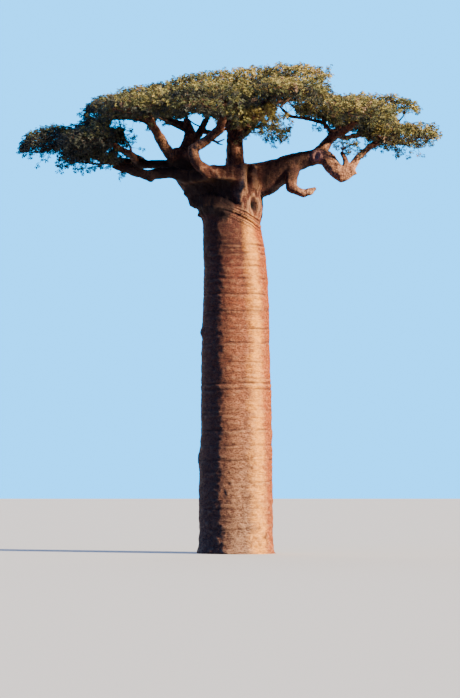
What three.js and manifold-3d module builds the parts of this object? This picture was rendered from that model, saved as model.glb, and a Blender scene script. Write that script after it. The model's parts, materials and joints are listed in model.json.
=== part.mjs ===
// A baobab of the tall Madagascan kind: a thick bottle-straight bole, a short wide head where it
// forks, a few heavy crooked boughs and a flat crown of separate foliage pads.
// Millimetres, +Z up. In the front view +X is to the right and +Y points away from the viewer.
// The origin is the middle of the flat cut at ground level.
import * as THREE from "three";
import { mergeVertices } from "three/addons/utils/BufferGeometryUtils.js";
import Module from "manifold-3d";

const wasm = await Module();
wasm.setup();

// Driving dimensions
const METRE = 1000;
const BOLE_RADIUS = 1600;
const NECK_HEIGHT = 14500;
const HEAD_HEIGHT = 2400;
const SEAT_GAP = 0.5;

// Facets
const BOLE_SIDES = 24;
const THICK_LIMB = 0.3;
const THICK_LIMB_SIDES = 8;
const THIN_LIMB_SIDES = 6;
const THICK_LIMB_RING_SPACING = 640;
const THIN_LIMB_RING_SPACING = 760;
const LARGE_PAD = 1.1;
const LARGE_PAD_DETAIL = 2;
const SMALL_PAD_DETAIL = 1;
const SLIVER = 0.4;

// Bole from the cut to the neck: share of the neck's height, then radius and sideways lean as
// shares of the bole's radius.
const BOLE_STATIONS = [
  { height: 0, radius: 1.1, lean: 0 },
  { height: 0.012, radius: 1.06, lean: 0 },
  { height: 0.05, radius: 1.035, lean: 0 },
  { height: 0.2, radius: 1.03, lean: -0.01 },
  { height: 0.36, radius: 0.995, lean: 0 },
  { height: 0.55, radius: 0.975, lean: -0.01 },
  { height: 0.74, radius: 0.94, lean: -0.01 },
  { height: 0.84, radius: 0.905, lean: -0.02 },
  { height: 0.92, radius: 0.86, lean: -0.06 },
  { height: 0.965, radius: 0.825, lean: -0.1 },
  { height: 1, radius: 0.8, lean: -0.14 },
];

// Head from the neck to its top: share of the head's height, then half width, half depth and
// lean as shares of the bole's radius. It widens to the left, under the left-hand boughs.
const HEAD_STATIONS = [
  { height: 0.1, width: 0.83, depth: 0.82, lean: -0.15 },
  { height: 0.26, width: 0.9, depth: 0.86, lean: -0.2 },
  { height: 0.4, width: 0.98, depth: 0.9, lean: -0.31 },
  { height: 0.58, width: 1.02, depth: 0.92, lean: -0.37 },
  { height: 0.72, width: 1.1, depth: 0.92, lean: -0.45 },
  { height: 0.85, width: 1.08, depth: 0.86, lean: -0.46 },
  { height: 0.95, width: 0.84, depth: 0.66, lean: -0.38 },
  { height: 1, width: 0.42, depth: 0.34, lean: -0.3 },
];

// Limbs, each cut where it leaves the ones before it and where it enters foliage. A path runs
// through points in metres, from inside its parent, and the radii are spread evenly along it.
const LIMBS = [
  {
    name: "left_bough",
    path: [[-1.35, 0.2, 15.5], [-1.98, 0.3, 16.3], [-2.44, 0.3, 17], [-2.56, 0.3, 17.75]],
    radius: [0.6, 0.55, 0.56, 0.5, 0.38],
  },
  {
    name: "right_bough",
    path: [[0.2, 0, 16.18], [1.25, 0, 16.38], [1.8, -0.1, 16.65], [2.3, -0.2, 16.97], [3.65, -0.4, 17.35]],
    radius: [0.79, 0.77, 0.77, 0.68, 0.51, 0.4, 0.35, 0.32],
  },
  {
    name: "centre_bough",
    path: [[0, 0.2, 16], [-0.05, 0.2, 17.2], [-0.07, 0.2, 18.5], [0, 0.2, 20.2]],
    radius: [0.5, 0.42, 0.35, 0.32, 0.33, 0.27, 0.2],
  },
  {
    name: "front_hook_bough",
    path: [[0.5, -0.75, 15.9], [-0.4, -1.25, 16.17], [-1.1, -1.5, 16.4], [-1.62, -1.65, 16.7], [-1.85, -1.72, 17.07],
      [-1.92, -1.78, 17.48]],
    radius: [0.4, 0.39, 0.36, 0.34, 0.27, 0.2, 0.18],
  },
  {
    name: "front_hook_arm",
    path: [[-1.98, -1.78, 17.38], [-1.45, -1.95, 17.72], [-1.02, -2.15, 17.92], [-0.72, -2.45, 18.25], [-0.6, -3, 18.75]],
    radius: [0.2, 0.2, 0.19, 0.15],
  },
  {
    name: "back_bough",
    path: [[-0.2, 0.6, 16], [-0.15, 1.75, 17], [-0.12, 2.7, 18.1], [-0.15, 3.2, 18.8]],
    radius: [0.55, 0.42, 0.34, 0.3],
  },
  {
    name: "back_left_arm",
    path: [[-0.13, 2.95, 18.4], [-0.35, 3.6, 19.3], [-0.8, 4.4, 20.3]],
    radius: [0.26, 0.17],
  },
  {
    name: "back_right_arm",
    path: [[-0.13, 3, 18.5], [0.6, 3.5, 19.2], [1.6, 4.1, 20.6]],
    radius: [0.26, 0.16],
  },
  {
    name: "low_left_bough",
    path: [[-1.9, 0.1, 16.55], [-3.05, 0.2, 17.0], [-3.9, 0.4, 17.06], [-4.8, 0.6, 17.14], [-6.2, 0.8, 17.45],
      [-7.2, 0.6, 17.85]],
    radius: [0.4, 0.27, 0.19, 0.19, 0.18, 0.15, 0.12],
  },
  {
    name: "low_left_prop",
    path: [[-1.7, -0.5, 16.1], [-2.9, -0.75, 16.58], [-3.8, -0.85, 16.43], [-4.6, -1, 16.62], [-5.6, -1.3, 16.92]],
    radius: [0.36, 0.27, 0.23, 0.21, 0.19, 0.15],
  },
  {
    name: "left_outer_bough",
    path: [[-2.5, 0.25, 16.95], [-3.06, -0.3, 17.6], [-3.44, -0.55, 18.2], [-4, -1, 19.3]],
    radius: [0.34, 0.25, 0.19, 0.17, 0.16],
  },
  {
    name: "upper_left_arm",
    path: [[-3.6, -0.7, 18.6], [-4.1, -0.9, 18.88], [-4.6, -1, 18.94], [-5.3, -1.1, 19.3]],
    radius: [0.16, 0.1],
  },
  {
    name: "left_front_arm",
    path: [[-3.3, -0.5, 18.05], [-3.62, -1.5, 18.38], [-3.9, -3, 18.95]],
    radius: [0.19, 0.13],
  },
  {
    name: "left_inner_bough",
    path: [[-2.55, 0.3, 17.2], [-2.14, 0.8, 18.1], [-2.12, 1.25, 18.75], [-2.95, 2.2, 19.22], [-3.9, 3.8, 20]],
    radius: [0.32, 0.26, 0.19, 0.15, 0.12, 0.1],
  },
  {
    name: "left_middle_arm",
    path: [[-2.05, 0.85, 18], [-1.98, 1, 18.5], [-2.25, 1.15, 19.15], [-2.3, 1.2, 19.8]],
    radius: [0.19, 0.15, 0.12],
  },
  {
    name: "left_right_arm",
    path: [[-2.3, 0.5, 17.65], [-2.05, 0.95, 18.08], [-1.57, 1.6, 18.75], [-1.44, 1.8, 19.1], [-1.3, 1.9, 19.9]],
    radius: [0.24, 0.17, 0.14, 0.13],
  },
  {
    name: "left_cross_arm",
    path: [[-1.62, 1.55, 18.68], [-1, 2, 18.66], [-0.35, 2, 18.82], [-0.1, 1.7, 19.7]],
    radius: [0.12, 0.09],
  },
  {
    name: "low_left_sprout",
    path: [[-4.55, 0.5, 17.02], [-4.62, 0.45, 17.5], [-4.58, 0.35, 18.1]],
    radius: [0.08, 0.05],
  },
  {
    name: "low_left_front_arm",
    path: [[-4.4, 0.45, 17.2], [-4.85, -1.1, 17.45], [-5.9, -2.4, 17.8]],
    radius: [0.15, 0.09],
  },
  {
    name: "low_left_back_arm",
    path: [[-4.1, 0.5, 17.15], [-4.6, 1.8, 17.6], [-5.6, 2.9, 18.25], [-6.3, 3.4, 18.7]],
    radius: [0.18, 0.09],
  },
  {
    name: "right_upper_bough",
    path: [[3.52, -0.3, 17.3], [3.96, 0, 18], [4.3, 0.2, 18.4], [5.2, 0.4, 19.05]],
    radius: [0.28, 0.23, 0.2, 0.17],
  },
  {
    name: "right_front_arm",
    path: [[4.15, 0.1, 18.22], [4.55, -1, 18.28], [4.95, -2.1, 18.42], [5.4, -3.3, 18.9]],
    radius: [0.18, 0.12],
  },
  {
    name: "right_back_arm",
    path: [[4.15, 0.15, 18.25], [4.35, 1.4, 18.45], [4.55, 2.6, 18.9], [4.7, 3.6, 20]],
    radius: [0.18, 0.12],
  },
  {
    name: "right_back_outer_arm",
    path: [[4.38, 1.5, 18.48], [5.15, 2.5, 18.55], [6, 3.3, 19]],
    radius: [0.13, 0.09],
  },
  {
    name: "right_thin_arm",
    path: [[4.24, 0.22, 18.36], [3.9, 0.45, 18.86], [3.35, 0.55, 19.08], [2.5, 0.6, 19.14], [1.8, 0.6, 19.7]],
    radius: [0.12, 0.07, 0.055, 0.05],
  },
  {
    name: "right_dip_bough",
    path: [[3.35, -0.35, 17.38], [3.92, -0.6, 17.18], [4.25, -0.95, 16.62], [4.45, -1.05, 16.42], [4.75, -1.1, 16.4],
      [5.05, -1.1, 16.66]],
    radius: [0.35, 0.36, 0.36, 0.35, 0.34, 0.27],
  },
  {
    name: "right_outer_bough",
    path: [[4.85, -1.1, 16.52], [5.16, -1, 17.06], [5.84, -0.7, 17.72], [7.2, -0.3, 18.3]],
    radius: [0.2, 0.14, 0.11, 0.09],
  },
  {
    name: "right_small_arm",
    path: [[4.72, -1.1, 16.6], [4.72, -1.1, 17.08], [4.55, -1.15, 17.4], [4.75, -1.2, 17.8]],
    radius: [0.13, 0.1, 0.06],
  },
  {
    name: "right_broken_stub",
    path: [[2.45, -0.3, 16.9], [2.36, -0.65, 16.45], [2.31, -0.85, 16.02], [2.47, -0.98, 15.73], [2.75, -1.05, 15.6],
      [3.08, -1.12, 15.62], [3.44, -1.2, 15.82]],
    radius: [0.36, 0.31, 0.27, 0.25, 0.22, 0.19, 0.16, 0.08],
  },
  {
    name: "centre_right_arm",
    path: [[-0.05, 0.2, 19], [0.6, -0.4, 19.28], [1.35, -0.9, 19.47], [2.7, -1, 20.3]],
    radius: [0.2, 0.11],
  },
  {
    name: "centre_low_arm",
    path: [[-0.05, 0.15, 18.2], [0.35, -0.35, 18.35], [1, -1.5, 18.75]],
    radius: [0.16, 0.1],
  },
  {
    name: "front_right_arm",
    path: [[0.55, -0.35, 19.25], [1.15, -1.7, 19.4], [1.9, -3.4, 19.75]],
    radius: [0.15, 0.11],
  },
];

// Foliage pads: centre and half sizes in metres. Each is cut clear of the ones before it.
const PADS = [
  { name: "foliage_top_middle", centre: [-1.5, 0.3, 20.16], half: [2.15, 2.3, 0.98] },
  { name: "foliage_top_centre", centre: [1.05, 0.5, 20.42], half: [1.8, 2.3, 0.96] },
  { name: "foliage_top_right", centre: [2.75, -0.7, 20.68], half: [1.5, 2, 0.64] },
  { name: "foliage_top_left", centre: [-3.8, 0.9, 19.9], half: [1.95, 2.1, 0.78] },
  { name: "foliage_centre_low", centre: [1.04, -1.8, 18.62], half: [1.4, 1.35, 0.88] },
  { name: "foliage_front_middle", centre: [-1.3, -4, 19.3], half: [2, 2.1, 0.76] },
  { name: "foliage_front_left", centre: [-4.15, -3.5, 19.1], half: [1.85, 2, 0.56] },
  { name: "foliage_front_right", centre: [2.2, -3.9, 19.78], half: [1.75, 2.1, 0.48] },
  { name: "foliage_back_middle", centre: [-0.8, 4.5, 20.4], half: [2.05, 2.3, 0.72] },
  { name: "foliage_back_left", centre: [-4.3, 4.2, 20.05], half: [1.95, 2.1, 0.58] },
  { name: "foliage_back_right", centre: [4.7, 3.9, 20.02], half: [1.85, 2.1, 0.53] },
  { name: "foliage_back_centre", centre: [2, 4.3, 20.7], half: [1.7, 2.1, 0.6] },
  { name: "foliage_upper_left", centre: [-5.35, -0.8, 19.4], half: [1.49, 1.8, 0.62] },
  { name: "foliage_left_middle", centre: [-6.1, 0.3, 18.5], half: [1.25, 1.7, 0.86] },
  { name: "foliage_far_left", centre: [-8.08, 0.3, 17.98], half: [1.6, 1.9, 0.76] },
  { name: "foliage_left_front", centre: [-6.45, -3, 17.8], half: [1.35, 1.5, 0.42] },
  { name: "foliage_left_back", centre: [-6.6, 3.4, 18.6], half: [1.4, 1.6, 0.5] },
  { name: "foliage_left_low", centre: [-6.4, -1.5, 16.95], half: [1.48, 1.1, 0.46] },
  { name: "foliage_left_inner", centre: [-4.85, 0.25, 17.86], half: [0.95, 0.85, 0.5] },
  { name: "foliage_right_inner", centre: [3.65, 0.9, 19.8], half: [1.35, 1.7, 0.54] },
  { name: "foliage_right_middle", centre: [5.15, 0.2, 19.28], half: [1.65, 1.8, 0.74] },
  { name: "foliage_right_top", centre: [6.6, 0.9, 19.84], half: [1.68, 1.7, 0.38] },
  { name: "foliage_right_outer", centre: [7.35, -0.2, 18.26], half: [1.72, 1.9, 0.68] },
  { name: "foliage_right_front", centre: [5.4, -3.5, 18.88], half: [1.75, 1.8, 0.52] },
  { name: "foliage_right_back", centre: [6.9, 3.6, 19.05], half: [1.45, 1.6, 0.5] },
  { name: "foliage_right_small", centre: [4.8, -1.2, 17.68], half: [0.68, 0.75, 0.36] },
];

const bark = new THREE.MeshStandardMaterial({ color: 0x8a5a40, roughness: 0.85, metalness: 0 });
const leaves = new THREE.MeshStandardMaterial({ color: 0x59602a, roughness: 0.7, metalness: 0 });

// A closed geometry with only its positions, each shared by all the faces that meet there.
function closed(geometry) {
  const bare = new THREE.BufferGeometry();
  bare.setAttribute("position", geometry.getAttribute("position").clone());
  bare.setIndex(geometry.index);
  return mergeVertices(bare, 1e-3);
}

// Moves each position of a geometry through a function of the point.
function reshape(geometry, move) {
  const position = geometry.getAttribute("position");
  const point = new THREE.Vector3();
  for (let i = 0; i < position.count; i += 1) {
    point.fromBufferAttribute(position, i);
    move(point);
    position.setXYZ(i, point.x, point.y, point.z);
  }
  return geometry;
}

// The same shape with every face moved out, which cuts a seat with a small gap.
function grown(geometry, gap) {
  const wider = geometry.clone();
  wider.computeVertexNormals();
  const position = wider.getAttribute("position");
  const normal = wider.getAttribute("normal");
  for (let i = 0; i < position.count; i += 1) {
    position.setXYZ(
      i,
      position.getX(i) + gap * normal.getX(i),
      position.getY(i) + gap * normal.getY(i),
      position.getZ(i) + gap * normal.getZ(i),
    );
  }
  return wider;
}

function toSolid(geometry) {
  return new wasm.Manifold(
    new wasm.Mesh({
      numProp: 3,
      vertProperties: geometry.getAttribute("position").array,
      triVerts: new Uint32Array(geometry.index.array),
    }),
  );
}

function toGeometry(solid) {
  const mesh = solid.getMesh();
  const geometry = new THREE.BufferGeometry();
  geometry.setAttribute("position", new THREE.BufferAttribute(mesh.vertProperties, 3));
  geometry.setIndex(new THREE.BufferAttribute(mesh.triVerts, 1));
  return geometry;
}

// What is left of a shape outside its neighbours: the largest piece, without slivers.
function cutClear(geometry, neighbours) {
  let solid = toSolid(geometry);
  for (const neighbour of neighbours) solid = solid.subtract(neighbour);
  const [largest] = solid.decompose().sort((a, b) => b.volume() - a.volume());
  return toGeometry(largest.simplify(SLIVER));
}

// Bole and head in one: a lathed profile whose rings are then widened and moved sideways.
function trunkGeometry() {
  const bole = BOLE_STATIONS.map(({ height, radius, lean }) => ({
    z: height * NECK_HEIGHT, width: radius, depth: radius, lean,
  }));
  const head = HEAD_STATIONS.map(({ height, width, depth, lean }) => ({
    z: NECK_HEIGHT + height * HEAD_HEIGHT, width, depth, lean,
  }));
  const rings = [...bole, ...head];
  const top = rings[rings.length - 1];
  const profile = [
    new THREE.Vector2(0, 0),
    ...rings.map(({ z }) => new THREE.Vector2(1, z)),
    new THREE.Vector2(0, top.z),
  ];
  const geometry = new THREE.LatheGeometry(profile, BOLE_SIDES).rotateX(Math.PI / 2);
  const ringAt = new Map(rings.map((ring) => [Math.round(ring.z), ring]));
  reshape(geometry, (p) => {
    const ring = ringAt.get(Math.round(p.z));
    p.x = BOLE_RADIUS * (p.x * ring.width + ring.lean);
    p.y = BOLE_RADIUS * p.y * ring.depth;
  });
  return closed(geometry);
}

// Value at a place between 0 and 1 along a list of values spread evenly.
function spread(values, along) {
  const place = along * (values.length - 1);
  const before = Math.min(Math.floor(place), values.length - 2);
  return THREE.MathUtils.lerp(values[before], values[before + 1], place - before);
}

// A tapering limb: a capped cylinder bent along a smooth curve through the path.
function limbGeometry({ path, radius }) {
  const curve = new THREE.CatmullRomCurve3(
    path.map(([x, y, z]) => new THREE.Vector3(x, y, z).multiplyScalar(METRE)),
    false,
    "centripetal",
  );
  const thick = radius[0] > THICK_LIMB;
  const sides = thick ? THICK_LIMB_SIDES : THIN_LIMB_SIDES;
  const spacing = thick ? THICK_LIMB_RING_SPACING : THIN_LIMB_RING_SPACING;
  const rings = Math.max(3, Math.round(curve.getLength() / spacing));
  const frames = curve.computeFrenetFrames(rings, false);
  const geometry = new THREE.CylinderGeometry(1, 1, 1, sides, rings);
  reshape(geometry, (p) => {
    const along = p.y + 0.5;
    const ring = Math.round(along * rings);
    const reach = METRE * spread(radius, along);
    const { x, z } = p;
    p.copy(curve.getPointAt(along));
    p.addScaledVector(frames.normals[ring], x * reach);
    p.addScaledVector(frames.binormals[ring], -z * reach);
  });
  return closed(geometry);
}

// An uneven foliage pad: a full-cornered ellipsoid with slow lumps, a domed top and a flatter
// underside, drooping away from the trunk as the whole crown does.
const PAD_FULLNESS = 2.5;
const PAD_BODY = 0.95;
const PAD_DOME = 0.2;
const CROWN_DROOP = 0.12;
const PAD_LUMPS = [
  { waves: [2.1, 3.4, 1.3], height: 0.06 },
  { waves: [4.3, 2.2, 2.9], height: 0.04 },
  { waves: [1.7, 5.1, 3.7], height: 0.03 },
];

function padGeometry({ centre, half }, order) {
  const [x, y, z] = centre.map((v) => v * METRE);
  const size = new THREE.Vector3(...half).multiplyScalar(METRE);
  const distance = Math.hypot(x, y);
  const detail = half[0] * half[2] > LARGE_PAD ? LARGE_PAD_DETAIL : SMALL_PAD_DETAIL;
  const geometry = closed(new THREE.IcosahedronGeometry(1, detail));
  reshape(geometry, (p) => {
    const sum = [p.x, p.y, p.z].reduce((total, v) => total + Math.abs(v) ** PAD_FULLNESS, 0);
    const lumps = PAD_LUMPS.reduce((total, { waves, height }, i) => {
      const phase = waves[0] * p.x + waves[1] * p.y + waves[2] * p.z + order * (i + 1);
      return total + height * Math.sin(phase * 2);
    }, 0);
    p.multiplyScalar((PAD_BODY + lumps) / sum ** (1 / PAD_FULLNESS));
    p.z *= p.z < 0 ? 1 - PAD_DOME : 1 + PAD_DOME;
    p.z -= PAD_DOME;
    p.multiply(size).add({ x, y, z });
    p.z -= CROWN_DROOP * (Math.hypot(p.x, p.y) - distance);
  });
  return geometry;
}

// A mesh placed by its position, with its geometry about the middle of its own box.
function placed(name, geometry, material) {
  geometry.computeBoundingBox();
  const middle = geometry.boundingBox.getCenter(new THREE.Vector3()).round();
  geometry.translate(-middle.x, -middle.y, -middle.z);
  const mesh = new THREE.Mesh(geometry, material);
  mesh.name = name;
  mesh.position.copy(middle);
  return mesh;
}

const baobab = new THREE.Group();
const neighbours = [];

function addCut(name, geometry, material) {
  baobab.add(placed(name, cutClear(geometry, neighbours), material));
  neighbours.push(toSolid(grown(geometry, SEAT_GAP)));
}

PADS.forEach((pad, order) => addCut(pad.name, padGeometry(pad, order), leaves));

const trunk = trunkGeometry();
neighbours.push(toSolid(grown(trunk, SEAT_GAP)));
const trunkMesh = new THREE.Mesh(trunk, bark);
trunkMesh.name = "trunk";
baobab.add(trunkMesh);

LIMBS.forEach((limb) => addCut(limb.name, limbGeometry(limb), bark));

export default baobab;
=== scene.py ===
# The baobab's visible surfaces: one bark mesh with its relief, boughs and twigs grown inside each
# foliage mass by a seeded branching rule, and leaves in sprays at the twigs' ends.
import json
import math

import bpy
import numpy as np
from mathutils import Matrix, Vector
from mathutils.bvhtree import BVHTree

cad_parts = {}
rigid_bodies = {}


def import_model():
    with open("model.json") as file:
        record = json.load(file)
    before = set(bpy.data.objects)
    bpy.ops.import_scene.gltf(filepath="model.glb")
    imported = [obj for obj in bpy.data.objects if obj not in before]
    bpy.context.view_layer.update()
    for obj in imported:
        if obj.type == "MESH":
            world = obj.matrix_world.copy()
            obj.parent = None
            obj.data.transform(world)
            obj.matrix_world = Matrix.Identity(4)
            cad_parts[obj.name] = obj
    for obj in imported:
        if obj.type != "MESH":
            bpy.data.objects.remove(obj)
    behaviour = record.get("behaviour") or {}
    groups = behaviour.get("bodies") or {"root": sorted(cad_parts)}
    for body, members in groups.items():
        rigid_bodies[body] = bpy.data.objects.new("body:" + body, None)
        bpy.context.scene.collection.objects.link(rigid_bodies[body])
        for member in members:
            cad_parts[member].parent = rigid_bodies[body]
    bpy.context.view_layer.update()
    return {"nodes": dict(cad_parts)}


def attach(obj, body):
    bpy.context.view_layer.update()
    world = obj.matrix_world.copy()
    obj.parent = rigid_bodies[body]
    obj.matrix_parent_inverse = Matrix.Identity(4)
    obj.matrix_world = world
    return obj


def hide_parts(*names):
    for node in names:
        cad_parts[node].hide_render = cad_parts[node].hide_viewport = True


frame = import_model()
nodes = frame["nodes"]
FOLIAGE = sorted(name for name in nodes if name.startswith("foliage"))
BARK = sorted(name for name in nodes if not name.startswith("foliage"))

# The photograph: its size, its horizon and the trunk's axis in pixels, and the camera that sees
# the tree as it does, from far enough away for a long lens.
PHOTO_WIDTH = 460
PHOTO_HEIGHT = 698
HORIZON_ROW = 490
TRUNK_COLUMN = 237
CAMERA_DISTANCE = 110.0
CAMERA_HEIGHT = 2.75
FOCAL_PIXELS = 2523
SENSOR = 36.0
CAMERA_PITCH = math.atan((HORIZON_ROW - PHOTO_HEIGHT / 2) / FOCAL_PIXELS)
CAMERA_SIDE = (PHOTO_WIDTH / 2 - TRUNK_COLUMN) * CAMERA_DISTANCE / FOCAL_PIXELS
CAMERA_PLACE = np.array([CAMERA_SIDE, -CAMERA_DISTANCE, CAMERA_HEIGHT])

rng = np.random.default_rng(20)


# Meshes

def vertices_of(mesh):
    points = np.empty(len(mesh.vertices) * 3)
    mesh.vertices.foreach_get("co", points)
    return points.reshape(-1, 3)


def corners_of(faces, corners):
    """The vertex numbers of faces that all have as many corners."""
    numbers = np.empty(len(faces) * corners, int)
    faces.foreach_get("vertices", numbers)
    return numbers.reshape(-1, corners)


def node_arrays(name):
    """Vertices and triangles of a CAD node."""
    mesh = nodes[name].data
    mesh.calc_loop_triangles()
    return vertices_of(mesh), corners_of(mesh.loop_triangles, 3)


def unit(v):
    """Vectors made one long."""
    return v / np.maximum(np.linalg.norm(v, axis=-1, keepdims=True), 1e-9)


def welded(points, triangles):
    """The same faces with one vertex for each place."""
    keys = np.round(points * 1e4).astype(np.int64)
    _, first, back = np.unique(keys, axis=0, return_index=True, return_inverse=True)
    return points[first], back.reshape(-1)[triangles]


def summed(numbers, rows, count):
    """For each number up to a count, the sum of the rows that bear it."""
    return np.stack([np.bincount(numbers, column, count) for column in rows.T], axis=1)


def vertex_normals(points, faces):
    """Area-weighted normals, for triangles or quads."""
    a, b, c, d = (points[faces[:, corner]] for corner in (0, 1, 2, -1))
    across = np.cross(c - a, d - b) if faces.shape[1] == 4 else np.cross(b - a, c - a)
    normals = sum(summed(corner, across, len(points)) for corner in faces.T)
    return normals / np.maximum(np.linalg.norm(normals, axis=1), 1e-12)[:, None]


def new_object(name, points, faces, smooth=True):
    """A mesh object from arrays, with faces of three or four corners."""
    mesh = bpy.data.meshes.new(name)
    mesh.vertices.add(len(points))
    mesh.vertices.foreach_set("co", np.asarray(points, np.float32).ravel())
    mesh.loops.add(faces.size)
    mesh.loops.foreach_set("vertex_index", faces.astype(np.int32).ravel())
    mesh.polygons.add(len(faces))
    mesh.polygons.foreach_set("loop_start", np.arange(0, faces.size, faces.shape[1], dtype=np.int32))
    mesh.polygons.foreach_set("use_smooth", np.full(len(faces), smooth))
    mesh.update(calc_edges=True)
    mesh.validate()
    piece = bpy.data.objects.new(name, mesh)
    bpy.context.scene.collection.objects.link(piece)
    return piece


# Noise: value noise on a hashed lattice, the same on every run

def lattice(cells, seed):
    """A number from -1 to 1 for each cell, by a spatial hash with large odd factors."""
    x, y, z = cells.T
    mixed = x * 73856093 ^ y * 19349663 ^ z * 83492791 ^ seed * 2654435761
    mixed = (mixed ^ (mixed >> 13)) * 1274126177
    return ((mixed ^ (mixed >> 16)) & 0xFFFF) / 0x8000 - 1.0


def noise(points, scale, seed):
    """Smooth noise from -1 to 1. scale is the size of a lump in metres, one number or three."""
    place = points / np.asarray(scale)
    cell = np.floor(place).astype(np.int64)
    part = place - cell
    part = part * part * (3 - 2 * part)
    total = np.zeros(len(points))
    for corner in np.ndindex(2, 2, 2):
        x, y, z = np.where(corner, part, 1 - part).T
        total += x * y * z * lattice(cell + np.array(corner), seed)
    return total


def fractal(points, scale, seed, octaves=3):
    scale = np.asarray(scale, float)
    return sum(noise(points, scale / 2 ** i, seed + i) / 2 ** i for i in range(octaves))


def bell(distance, width):
    """1 at no distance, and smoothly down to nothing past the width."""
    return np.exp(-((distance / width) ** 2))


def bound(value):
    return np.clip(value, 0, 1)


def rise(value, start, width):
    """0 up to the start, 1 from start plus width on."""
    return bound((value - start) / width)


def fall(value, end, width):
    """1 up to end less width, 0 from the end on."""
    return bound((end - value) / width)


# Bark: the trunk and limbs in one skin

VOXEL = 0.05
SMOOTH_ROUNDS = 10
BOLE_RADIUS = 1.6
# The bole's smooth girth: the steps it is fitted in, the height up to which, and how far it moves
# the skin at most
BOLE_STEP = 0.5
FIT_TOP = 15
GIRTH_SHIFT = 0.12
# The bole's top, over what height it fades into the head, and how far out its skin lies at most
BOLE_TOP = 14.9
BOLE_FADE = 0.7
BOLE_REACH = 2.2
# Each limb grows by this before the limbs are joined, as the joining takes a little off
SKIN_GROWTH = 0.016


def skin_of_limbs():
    """The trunk and limbs joined into one even mesh of quads."""
    points, faces, count = [], [], 0
    for name in BARK:
        p, f = welded(*node_arrays(name))
        p = p + vertex_normals(p, f) * SKIN_GROWTH
        points.append(p)
        faces.append(f + count)
        count += len(p)
    raw = new_object("bark", np.concatenate(points), np.concatenate(faces))
    remesh = raw.modifiers.new("even", "REMESH")
    remesh.mode = "VOXEL"
    remesh.voxel_size = VOXEL
    remesh.use_smooth_shade = True
    depsgraph = bpy.context.evaluated_depsgraph_get()
    mesh = bpy.data.meshes.new_from_object(raw.evaluated_get(depsgraph))
    raw.modifiers.clear()
    raw.data = mesh
    return raw


class Smoother:
    """Averages values over each vertex's neighbours."""

    def __init__(self, faces, count):
        pairs = np.concatenate([faces[:, [i, (i + 1) % 4]] for i in range(4)])
        self.pairs = np.unique(np.sort(pairs, axis=1), axis=0)
        self.count = count
        self.degree = np.maximum(np.bincount(self.pairs.ravel(), minlength=count), 1)

    def mean(self, values):
        a, b = self.pairs.T
        return (np.bincount(a, values[b], self.count) + np.bincount(b, values[a], self.count)) / self.degree

    def rounds(self, values, number, share=0.6):
        for _ in range(number):
            values = values + share * (self.mean(values) - values)
        return values

    def points(self, points, number):
        return np.stack([self.rounds(points[:, axis], number) for axis in range(3)], axis=1)


def rounded(points, faces, smoother):
    """Facets smoothed away, with the girth that smoothing loses put back."""
    soft = smoother.points(points, SMOOTH_ROUNDS)
    normals = vertex_normals(soft, faces)
    lost = np.einsum("ij,ij->i", points - soft, normals)
    return soft + normals * smoother.rounds(lost, 2 * SMOOTH_ROUNDS)[:, None]


# Dark rings round the bole: heights in metres and depths in millimetres, the deepest where the
# photograph shows them
CLEAR_RINGS = [
    (13.4, 16), (13.02, 22), (12.46, 20), (11.94, 12), (11.25, 20), (10.52, 14), (9.75, 16), (9.15, 18),
    (8.3, 10), (7.36, 30), (7.1, 18), (6.2, 10), (5.33, 14), (4.68, 16), (4.04, 14), (3.1, 8), (2.2, 8),
]
# Faint broken rings: how many, and between what each one's height, depth, middle angle, reach and
# tilt are drawn
FAINT_RINGS = 70
FAINT_RING = [(0.8, 14.2), (0.006, 0.014), (-math.pi, math.pi), (0.15, 0.9), (-0.03, 0.07)]
# Flat faces round the bole, as angles in degrees from the front towards the right; how flat they
# are and how sharply they meet, per metre, on the left side and on the right
FLAT_FACES = [(-95, -27), (-27, 24), (24, 48), (48, 100), (100, 150), (150, 215), (215, 265)]
FLATNESS = (0.12, 0.62)
FACE_SHARPNESS = (4.5, 7.5)
# The pale, smooth face to the right of the front, paler still as painted sunlight where the sun meets
# the bole, and the redder one beyond it: first and last angle in degrees, and how far each fades out, in
# radians
PALE_SUNLIT_FACE = (23, 52, 0.3)
RED_FACE = (50, 110, 0.4)
# Redder bark left of the front, darkened further as painted shade on the side away from the sun
RUDDY_SHADED_FACE = (-80, -11, 0.45)
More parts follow.
